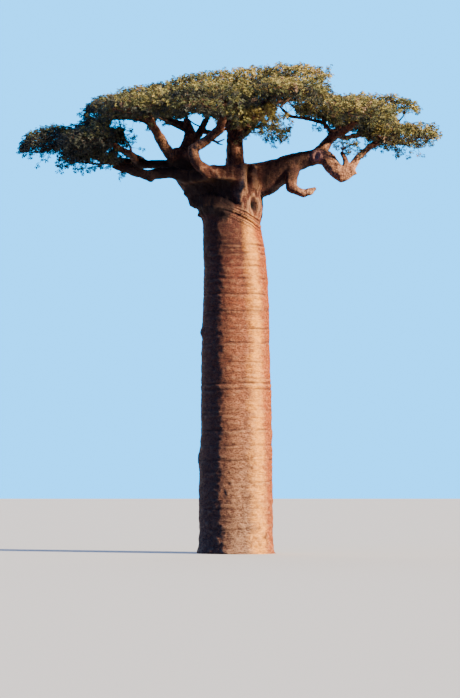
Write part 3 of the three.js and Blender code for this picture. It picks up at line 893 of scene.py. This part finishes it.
def grow_crown(masses):
    """Branches from every bough's end to every fork, then twigs to the tips round each fork."""
    branches = Branches()
    starts = []
    for ring, radius, way in contacts(masses):
        root = branches.add(ring - 0.3 * way, -1)
        neck = branches.add(ring, root)
        starts.append(branches.add(ring + way * min(0.35, 1.5 * radius + 0.1), neck))
        branches.travel[starts[-1]] = 0.0
    for mass in masses:
        mass.make_tips()
    bridge(masses)
    owners = [mass for mass in masses for _ in mass.forks]
    stems = branches.grow(np.concatenate([mass.forks for mass in masses]), starts, FORK_FRUGALITY)
    tips = []
    for mass in masses:
        mine = [stem for owner, stem in zip(owners, stems) if owner is mass]
        for stem in mine:
            branches.travel[stem] *= 0.3
        tips.extend(branches.grow(mass.tips, mine, TWIG_FRUGALITY))
    return branches, np.array(tips)


def settle(branches, rounds=2):
    """Eases the bends: points between a parent and its branches move towards their middle."""
    place = np.array(branches.place)
    parent = np.array(branches.parent)
    rooted = parent >= 0
    children = np.bincount(parent[rooted], minlength=len(place))
    # neither the roots move nor the points next to them
    inner = rooted & (children > 0) & (parent[parent] >= 0)
    for _ in range(rounds):
        total = summed(parent[rooted], place[rooted], len(place))
        middle = (total / np.maximum(children, 1)[:, None] + place[parent]) / 2
        place[inner] += EASING * (middle[inner] - place[inner])
    return place, parent


# A branch's radius to this power is the sum of what its own branches ask for
TIP_RADIUS = 0.0075
PIPE_POWER = 2.15


def branch_radii(place, parent):
    """Each branch as thick as its own branches together ask for."""
    load = np.zeros(len(place))
    for i in range(len(place) - 1, -1, -1):
        if load[i] == 0:
            load[i] = TIP_RADIUS ** PIPE_POWER
        if parent[i] >= 0:
            load[parent[i]] += load[i]
    return load ** (1 / PIPE_POWER)


def chains(place, parent, radius):
    """Runs of points that each follow the thickest way on."""
    children = [[] for _ in place]
    for i, p in enumerate(parent):
        if p >= 0:
            children[p].append(i)
    stack = [(-1, i) for i in range(len(place)) if parent[i] < 0]
    runs = []
    while stack:
        before, i = stack.pop()
        run = [i] if before < 0 else [before, i]
        while children[i]:
            ordered = sorted(children[i], key=lambda c: -radius[c])
            stack.extend((i, c) for c in ordered[1:])
            i = ordered[0]
            run.append(i)
        runs.append(run)
    return runs


def with_run(place, radius, runs, path, girth):
    """The same points, radii and runs with one more run."""
    ends = len(place), len(place) + len(path)
    return np.concatenate([place, path]), np.concatenate([radius, girth]), runs + [list(range(*ends))]


def with_snags(*skeleton):
    """The runs and the snags, each snag thinning to its tip."""
    for root, *path in SNAGS:
        skeleton = with_run(*skeleton, path, np.linspace(root, 0.35 * root, len(path)))
    return skeleton


def with_tufts(*skeleton):
    """The runs and a short twig from each tuft's middle to each of its tips."""
    for centre, size in TUFTS:
        for _ in range(TUFT_TIPS):
            path = np.array([centre, centre + rng.normal(0, size, 3)])
            skeleton = with_run(*skeleton, path, [TUFT_RADIUS, TIP_RADIUS])
    return skeleton


# A tube's number of sides by its greatest radius
TUBE_SIDES = [(0.05, 8), (0.02, 5), (0.0, 3)]


def tubes(place, radius, runs):
    """Closed tubes along the runs, with more sides on the thicker ones."""
    all_points, all_faces, count = [], [], 0
    for run in runs:
        path = place[run]
        girth = radius[run].copy()
        if len(run) > 1:
            girth[0] = min(girth[0], girth[1] * 1.25)
        sides = next(number for least, number in TUBE_SIDES if girth.max() > least)
        step = unit(np.gradient(path, axis=0))
        side = unit(np.cross(step[0], (0.31, 0.17, 0.93)))
        turns = np.arange(sides)[:, None] * 2 * math.pi / sides
        rings = []
        for k in range(len(path)):
            side = unit(side - step[k] * (side @ step[k]))
            round_about = np.cos(turns) * side + np.sin(turns) * np.cross(step[k], side)
            rings.append(path[k] + girth[k] * round_about)
        points = np.concatenate(rings + [path[-1:] + step[-1:] * girth[-1]])
        i = np.arange(sides)
        j = (i + 1) % sides
        faces = []
        for k in range(len(path) - 1):
            a, b = k * sides, (k + 1) * sides
            faces.append(np.stack([a + i, a + j, b + j], axis=1))
            faces.append(np.stack([a + i, b + j, b + i], axis=1))
        last = (len(path) - 1) * sides
        faces.append(np.stack([last + i, last + j, np.full(sides, len(points) - 1)], axis=1))
        faces.append(np.stack([np.zeros(sides - 2, int), j[1:-1], i[1:-1]], axis=1))
        all_points.append(points)
        all_faces.append(np.concatenate(faces) + count)
        count += len(points)
    return np.concatenate(all_points), np.concatenate(all_faces)


# Leaves: fans of leaflets in sprays at the ends of the twigs

LEAVES_PER_SPRAY = 6
# Each leaf's turn round the twig from the one before, in radians: about the golden angle
LEAF_TURN = 2.4
LEAFLETS = 5
LEAFLET_LENGTH = 0.108
LEAFLET_WIDTH = 0.044
STALK = 0.07
# In a spray the first and the last leaf lean out from the twig by these angles, in radians, and
# the leaves sit along this length of it; a leaf's fan opens by this angle to each side
LEAN = (0.25, 1.5)
SPRAY_LENGTH = 0.16
FAN = 1.8


def leaf_sprays(tips, ways):
    """Leaflets as folded kites. Returns points and triangles of each spray, spray by spray."""
    n = len(tips)
    leaves = (n, LEAVES_PER_SPRAY)
    up = np.array([0.0, 0.0, 1.0])
    ways = unit(ways + 0.3 * up)
    side = unit(np.cross(ways, rng.normal(size=(n, 3))))
    other = np.cross(ways, side)
    tips, ways, side, other = (v[:, None] for v in (tips, ways, side, other))
    turn = rng.uniform(0, 2 * math.pi, (n, 1)) + np.arange(LEAVES_PER_SPRAY) * LEAF_TURN
    turn = (turn + rng.normal(0, 0.25, leaves))[..., None]
    tilt = (np.linspace(*LEAN, LEAVES_PER_SPRAY) + rng.normal(0, 0.2, leaves))[..., None]
    out = np.cos(tilt) * ways + np.sin(tilt) * (np.cos(turn) * side + np.sin(turn) * other)
    stalk = STALK * rng.uniform(0.6, 1.4, leaves + (1,))
    back = (np.linspace(0, SPRAY_LENGTH, LEAVES_PER_SPRAY) * rng.uniform(0.6, 1.3, leaves))[..., None]
    hub = tips - ways * back + out * stalk
    # a leaf faces partly up and partly along its stalk
    face = unit(0.75 * up + 0.5 * out + 0.45 * rng.normal(size=out.shape))
    ahead = unit(out - face * np.sum(out * face, axis=-1, keepdims=True))
    across = np.cross(face, ahead)
    hub, face, ahead, across = (v[:, :, None] for v in (hub, face, ahead, across))
    size = rng.uniform(0.7, 1.25, leaves + (1,))
    fan = np.linspace(-FAN, FAN, LEAFLETS)
    leaflets = leaves + (LEAFLETS,)
    spread = (fan + rng.normal(0, 0.14, leaflets))[..., None]
    reach = (np.cos(fan * 0.4) * size)[..., None]
    run = np.cos(spread) * ahead + np.sin(spread) * across
    wide = np.cross(face, run)
    length = LEAFLET_LENGTH * reach
    width = LEAFLET_WIDTH * reach
    droop = rng.uniform(0.0, 0.5, leaflets)[..., None]
    base = np.broadcast_to(hub, run.shape)
    middle = base + run * length * 0.6 - face * length * droop * 0.25
    tip = base + run * length - face * length * droop
    lift = face * width * 0.25
    half = wide * width * 0.5
    points = np.stack([base, middle - half + lift, tip, middle + half + lift], axis=-2)
    kites = LEAVES_PER_SPRAY * LEAFLETS
    first = np.arange(kites)[:, None] * 4
    return points.reshape(n, kites * 4, 3), (first + [0, 1, 2, 0, 2, 3]).reshape(-1, 3)


# Materials

BLACK = (0, 0, 0, 1)
WHITE = (1, 1, 1, 1)


def srgb(red, green, blue):
    def linear(v):
        v /= 255
        return v / 12.92 if v <= 0.04045 else ((v + 0.055) / 1.055) ** 2.4
    return (linear(red), linear(green), linear(blue), 1.0)


def by_node(operation, turned=False):
    """A method that works out its operation by a further maths node."""
    def method(self, other=0.0):
        node = self.shade.add("ShaderNodeMath", operation=operation)
        pair = (other, self) if turned else (self, other)
        for socket, value in zip(node.inputs, pair):
            self.shade.feed(value, socket)
        return Value(self.shade, node.outputs[0])
    return method


class Value:
    """A node's output, which can be added, multiplied and so on."""

    def __init__(self, shade, socket):
        self.shade = shade
        self.socket = socket

    __add__ = by_node("ADD")
    __radd__ = by_node("ADD", turned=True)
    __sub__ = by_node("SUBTRACT")
    __rsub__ = by_node("SUBTRACT", turned=True)
    __mul__ = by_node("MULTIPLY")
    __truediv__ = by_node("DIVIDE")
    __abs__ = by_node("ABSOLUTE")
    sine = by_node("SINE")
    at_least = by_node("MAXIMUM")
    at_most = by_node("MINIMUM")


class Shade:
    """A material's nodes, with a base colour that is tinted layer on layer."""

    def __init__(self, name, roughness, specular):
        self.material = bpy.data.materials.new(name)
        self.material.use_nodes = True
        self.tree = self.material.node_tree
        self.sockets = self.tree.nodes["Principled BSDF"].inputs
        self.sockets["Roughness"].default_value = roughness
        self.sockets["Specular IOR Level"].default_value = specular

    def add(self, kind, **values):
        node = self.tree.nodes.new(kind)
        for key, value in values.items():
            setattr(node, key, value)
        return node

    def feed(self, value, socket):
        """Gives a socket a plain value or another node's output."""
        if isinstance(value, Value):
            self.tree.links.new(value.socket, socket)
        else:
            socket.default_value = value

    def place(self):
        return Value(self, self.add("ShaderNodeTexCoord").outputs["Object"])

    def height(self):
        node = self.add("ShaderNodeSeparateXYZ")
        self.feed(self.place(), node.inputs[0])
        return Value(self, node.outputs["Z"])

    def noise(self, scale, stretch=(1, 1, 1), detail=4.0, roughness=0.55):
        mapping = self.add("ShaderNodeMapping")
        mapping.inputs["Scale"].default_value = stretch
        self.feed(self.place(), mapping.inputs["Vector"])
        texture = self.add("ShaderNodeTexNoise")
        stretched = Value(self, mapping.outputs["Vector"])
        names = ("Vector", "Scale", "Detail", "Roughness")
        for name, value in zip(names, (stretched, scale, detail, roughness)):
            self.feed(value, texture.inputs[name])
        return Value(self, texture.outputs["Fac"])

    def ramp(self, factor, *stops):
        node = self.add("ShaderNodeValToRGB")
        elements = node.color_ramp.elements
        while len(elements) < len(stops):
            elements.new(0.5)
        for element, (position, colour) in zip(elements, stops):
            element.position = position
            element.color = colour
        self.feed(factor, node.inputs["Fac"])
        return Value(self, node.outputs["Color"])

    def patches(self, low, high, *grain):
        """Noise made into patches: 0 up to the low value and 1 from the high one."""
        return self.ramp(self.noise(*grain), (low, BLACK), (high, WHITE))

    def lines(self, scale, stretch, width):
        """Thin wavering lines where a stretched noise passes its middle value."""
        off = abs(self.noise(scale, stretch, 3.0, 0.5) - 0.5)
        return 1.0 - (off / width).at_most(1.0)

    def read(self, name):
        return Value(self, self.add("ShaderNodeAttribute", attribute_name=name).outputs["Fac"])

    def tint(self, layer, *colour):
        """Mixes a colour into the base colour where a layer lies."""
        node = self.add("ShaderNodeMix", data_type="RGBA")
        inputs = {s.identifier: s for s in node.inputs}
        self.feed(layer, inputs["Factor_Float"])
        self.feed(self.colour, inputs["A_Color"])
        self.feed(srgb(*colour), inputs["B_Color"])
        self.colour = Value(self, {s.identifier: s for s in node.outputs}["Result_Color"])


# The bark's colour from the foot up, by height as a share of this one
COLOUR_HEIGHT = 22.0
# the darkest stops, just under the head, are partly painted shade from the head above
BARK_COLOURS = [
    (0.0, (168, 132, 104)), (0.13, (166, 120, 88)), (0.3, (166, 104, 70)), (0.5, (154, 84, 54)),
    (0.56, (126, 62, 44)), (0.62, (104, 50, 38)), (0.7, (116, 62, 48)), (0.9, (108, 66, 56)),
]
BUMP_STRENGTH = 0.7
BUMP_DEPTH = 0.035
# Where the head's upright streaks fade in and out, in the same shares
HEAD_STREAKS = [(0.675, BLACK), (0.695, WHITE), (0.765, WHITE), (0.785, BLACK)]


def bark_material():
    """The bark, from the broad colours to the finest marks."""
    shade = Shade("baobab_bark", 0.7, 0.18)
    tint, patches, lines, read = shade.tint, shade.patches, shade.lines, shade.read
    height = shade.height() / COLOUR_HEIGHT
    broad = shade.noise(0.55, (1, 1, 0.7), 5.0)
    colours = ((share, srgb(*colour)) for share, colour in BARK_COLOURS)
    shade.colour = shade.ramp(height + (broad - 0.5) * 0.14, *colours)
    bough = read("bough")
    pale_and_sunlit = read("pale_and_sunlit")
    # painted shade over the redder bark on the bole's side away from the sun, painted sunlight over the
    # paler, smoother sunward face, and the redder face beyond
    tint(read("ruddy_and_shaded") * 0.62, 72, 30, 30)
    tint(pale_and_sunlit * 0.9, 255, 170, 62)
    tint(read("red") * 0.85, 200, 94, 30)
    # pale and dark patches, stronger on the head and boughs, and blotches all over
    mottle = patches(0.42, 0.62, 3.4, (1, 1, 0.8), 7.0, 0.7)
    tint(mottle * (0.22 + bough * 0.3), 218, 158, 120)
    tint(patches(0.5, 0.66, 2.3, (1, 1, 0.5), 6.0, 0.65) * (bough * 0.6), 84, 54, 46)
    tint(patches(0.48, 0.6, 5.5, (1, 1, 1.4), 4.0, 0.6) * 0.22, 92, 46, 36)
    # upright streaks on the head and fine level streaks round the bole
    upright = patches(0.47, 0.57, 4.2, (1.6, 1.6, 0.3), 5.0, 0.6)
    upright = upright * (shade.ramp(height, *HEAD_STREAKS) * bough)
    tint(upright * 0.55, 74, 34, 30)
    roughened = 1.0 - pale_and_sunlit * 0.6
    streaks = patches(0.42, 0.66, 2.4, (0.45, 0.45, 11.0), 5.0, 0.6) * roughened
    tint(streaks * 0.14, 112, 62, 44)
    # painted sunlight on boughs that the crown shades
    tint(read("fresh") * 0.72, 250, 182, 136)
    # wrinkles across the boughs and thin lines round the bole
    wrinkles = lines(1.3, (4.5, 1.2, 0.9), 0.035) * bough
    tint(wrinkles * 0.75, 58, 26, 24)
    level = lines(1.0, (0.5, 0.5, 7.0), 0.02) * (1.0 - bough)
    tint(level * 0.3, 96, 54, 44)
    grain = patches(0.46, 0.58, 13.0, (0.8, 0.8, 1.5), 5.0, 0.7) * roughened
    tint(grain * 0.8, 78, 40, 34)
    tint(patches(0.62, 0.72, 21.0, (1, 1, 1.3), 3.0) * 0.35, 224, 178, 140)
    # painted shade in the creases and hollows, paler where the bark stands proud, painted shade where the
    # crown and head shade the bark, and the healed scar
    crease = read("crease")
    tint((crease * 0.85).at_most(0.95), 54, 33, 30)
    hollow = read("hollow")
    tint(hollow.at_least(0.0) * 0.5, 78, 46, 38)
    tint((hollow * -1.0).at_least(0.0) * 0.35, 220, 170, 128)
    tint(read("dark") * 0.93, 21, 13, 18)
    tint(read("scar") * 0.8, 236, 170, 150)
    # the fine folds of the collar, and painted near-black shade in the deepest creases and the knot hole
    wave = (read("slope") * (2 * math.pi / FOLD_PERIOD) + broad * 9.0).sine()
    folds = ((wave - 0.1) * 1.5).at_least(0.0) * read("collar")
    tint(folds.at_most(0.8), 58, 32, 28)
    tint((crease - 1.0).at_least(0.0).at_most(1.0), 8, 6, 7)
    relief = streaks * -0.35 + grain * -0.6 + level * -0.7 + mottle * 0.4 + folds * -1.8
    relief = relief + wrinkles * -0.8 + upright * -0.6
    fine = shade.add("ShaderNodeBump")
    for name, value in (("Strength", BUMP_STRENGTH), ("Distance", BUMP_DEPTH), ("Height", relief)):
        shade.feed(value, fine.inputs[name])
    shade.feed(Value(shade, fine.outputs["Normal"]), shade.sockets["Normal"])
    rough = shade.ramp(mottle, (0.0, (0.6, 0.6, 0.6, 1)), (1.0, (0.78, 0.78, 0.78, 1)))
    shade.feed(rough, shade.sockets["Roughness"])
    shade.feed(shade.colour, shade.sockets["Base Color"])
    return shade.material


def two_tone(name, tones, scale, detail, spread, roughness):
    """A material whose colour wavers between two near tones."""
    shade = Shade(name, roughness, 0.25)
    dark, light = (srgb(*tone) for tone in tones)
    tone = shade.noise(scale, (1, 1, 1), detail)
    colour = shade.ramp(tone, (0.5 - spread, dark), (0.5 + spread, light))
    shade.feed(colour, shade.sockets["Base Color"])
    return shade.material


TWIG_TONES = [(84, 62, 52), (132, 100, 82)]
# leaf kinds as lit and shaded copies of the leaves' colour, from sunlit gold to shaded deep green, and
# brown for dead leaves
LEAF_KINDS = [
    ("leaves_gold", (180, 164, 94), (200, 184, 116)),
    ("leaves_olive", (136, 130, 76), (156, 149, 90)),
    ("leaves_green", (93, 98, 62), (110, 113, 74)),
    ("leaves_deep", (66, 70, 60), (82, 86, 72)),
    ("leaves_brown", (138, 112, 90), (158, 132, 108)),
]


def tones_of_sprays(masses, number):
    """The painted light and shade of each spray, by its mass and lighter the higher in it the spray sits.
    Tufts come last.
    """
    tones = []
    for mass in masses:
        share = (mass.tips[:, 2] - mass.low[2]) / (mass.high[2] - mass.low[2])
        tones.append(CROWN_LIGHT_AND_SHADE.get(mass.name, 0.0) + 0.7 * (share - 0.5))
    tones = np.concatenate(tones)
    return np.append(tones, np.zeros(number - len(tones)))


# From gold to deep green, how light the sprays of a kind are at least; and the share of dead ones
KIND_EDGES = (0.85, 0.48, 0.15)
BROWN_SHARE = 0.06


def deal_kinds(tips, tones):
    """The leaf kind of each spray, as painted light and shade: gold and olive where lit, deeper green where
    shaded.
    """
    # painted light: lighter to the right, towards the sun, and higher up, spread by noise and chance
    lit = 0.5 + 0.02 * tips[:, 0] + 0.05 * (tips[:, 2] - 19.4) + tones
    lit += 0.5 * noise(tips, (1.0, 1.0, 0.3), 83) + 0.32 * noise(tips, (0.5, 0.5, 0.17), 85)
    lit += rng.normal(0, 0.16, len(tips)) - 0.06
    for *window, darker in SHADED_GAPS:
        lit -= darker * within(window, tips)
    kinds = np.digitize(-lit, [-edge for edge in KIND_EDGES])
    kinds[(rng.random(len(tips)) < BROWN_SHARE) & (kinds < 3)] = 4
    return kinds


# The tree

masses = [Mass(name) for name in FOLIAGE]
bark = bark_material()
for piece in make_bark():
    piece.data.materials.append(bark)

branches, tips = grow_crown(masses)
place, parent = settle(branches)
radius = branch_radii(place, parent)
runs = chains(place, parent, radius)
tip_places = place[tips]
tip_ways = place[tips] - place[parent[tips]]
place, radius, runs = with_snags(place, radius, runs)
place, radius, runs = with_tufts(place, radius, runs)
tuft_tips = np.array([run[-1] for run in runs[-TUFT_TIPS * len(TUFTS):]])
tip_places = np.concatenate([tip_places, place[tuft_tips]])
tip_ways = unit(np.concatenate([tip_ways, place[tuft_tips] - place[tuft_tips - 1]]))
tube_points, tube_faces = tubes(place, radius, runs)
twigs = new_object("twigs", tube_points, tube_faces)
twigs.data.materials.append(two_tone("baobab_twig", TWIG_TONES, 5.0, 4.0, 0.15, 0.8))
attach(twigs, "root")

spray_points, spray_faces = leaf_sprays(tip_places, tip_ways)
kinds = deal_kinds(tip_places, tones_of_sprays(masses, len(tip_places)))
for kind, (name, *tones) in enumerate(LEAF_KINDS):
    chosen = spray_points[kinds == kind]
    count = chosen.shape[1]
    offsets = np.arange(len(chosen))[:, None, None] * count
    faces = (spray_faces[None] + offsets).reshape(-1, 3)
    leaves = new_object(name, chosen.reshape(-1, 3), faces, smooth=False)
    leaves.data.materials.append(two_tone(name, tones, 9.0, 2.0, 0.12, 0.55))
    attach(leaves, "root")
    if kind == 0:
        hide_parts(*FOLIAGE)


# Stage

FLOOR_HALF = 700.0


def make_floor():
    """Level ground out to the horizon."""
    corners = [(-1, -1, 0), (1, -1, 0), (1, 1, 0), (-1, 1, 0)]
    floor = new_object("floor", FLOOR_HALF * np.array(corners), np.array([[0, 1, 2, 3]]), smooth=False)
    shade = Shade("floor", 0.9, 0.5)
    shade.feed(srgb(214, 214, 208), shade.sockets["Base Color"])
    floor.data.materials.append(shade.material)
    # a floor this wide would throw as much light up as a whole sky
    floor.visible_diffuse = False


# Lamps: name, the way from the tree in degrees right of the camera and up, strength, spread in
# degrees and colour
LAMPS = [
    ("key", SUN_ANGLE_RIGHT, SUN_HEIGHT, 15.0, 7, (1.0, 0.83, 0.6)),
    ("fill", -55, 58, 2.1, 150, (0.1, 0.3, 1.0)),
    ("back", 190, 30, 1.4, 60, (0.8, 0.88, 1.0)),
]
LAMP_DISTANCE = 60
SKY_BLUE = (0.0, 0.42, 1.0, 1)
SKY_STRENGTH = 4.2


def make_lights():
    """The low sun, a wide fill, a weak lamp behind, and the plain sky."""
    for name, right, height, energy, spread, colour in LAMPS:
        sun = bpy.data.lights.new(name, "SUN")
        sun.energy = energy
        sun.angle = math.radians(spread)
        sun.color = colour
        lamp = bpy.data.objects.new(name, sun)
        towards = Vector(direction(right, height))
        lamp.rotation_euler = towards.to_track_quat("Z", "Y").to_euler()
        lamp.location = towards * LAMP_DISTANCE
        bpy.context.scene.collection.objects.link(lamp)
    world = bpy.data.worlds.new("studio")
    world.use_nodes = True
    background = world.node_tree.nodes["Background"]
    background.inputs["Color"].default_value = SKY_BLUE
    background.inputs["Strength"].default_value = SKY_STRENGTH
    # the background is seen and not felt: its blue would tint the bark and the leaves
    world.cycles_visibility.diffuse = False
    world.cycles_visibility.glossy = False
    bpy.context.scene.world = world


def make_camera():
    """A camera that frames the tree as the photograph does."""
    camera = bpy.data.cameras.new("camera")
    camera.sensor_fit = "AUTO"
    camera.sensor_width = SENSOR
    camera.lens = FOCAL_PIXELS * SENSOR / PHOTO_HEIGHT
    camera.clip_end = 2000
    holder = bpy.data.objects.new("camera", camera)
    holder.location = CAMERA_PLACE
    holder.rotation_euler = (math.pi / 2 + CAMERA_PITCH, 0, 0)
    bpy.context.scene.collection.objects.link(holder)
    bpy.context.scene.camera = holder


make_floor()
make_lights()
make_camera()
